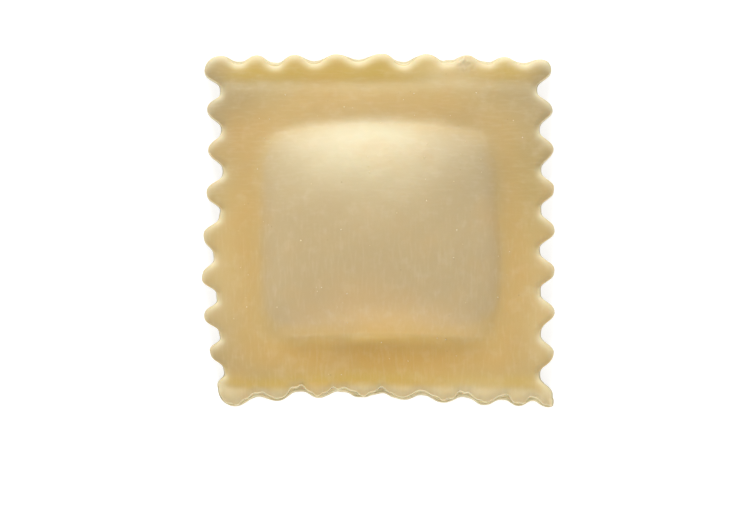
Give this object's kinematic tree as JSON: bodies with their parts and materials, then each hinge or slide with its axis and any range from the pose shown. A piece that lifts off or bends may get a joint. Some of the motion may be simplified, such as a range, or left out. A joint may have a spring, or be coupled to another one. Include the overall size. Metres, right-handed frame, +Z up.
{
  "type": "ravioli",
  "caption": "Fresh square stuffed pasta: two dough sheets pressed round a raised filling, with fluted cut edges and a pressed crease along two sides.",
  "frame": {"origin": "on the surface that the raviolo lies on, under the middle of its bounding box", "axes": "+Z up through the thickness, filled side up; +X to the right and +Y to the back, along the cut sides, with the pressed creases along X"},
  "size_m": [0.0454, 0.0454, 0.0074],
  "materials": {
    "lower_dough": "matt raw egg dough, slightly translucent",
    "upper_dough": "matt raw egg dough, slightly translucent, paler over the filling"
  },
  "bodies": {
    "root": {"lower_sheet": "lower_dough", "upper_sheet": "upper_dough"}
  },
  "joints": []
}
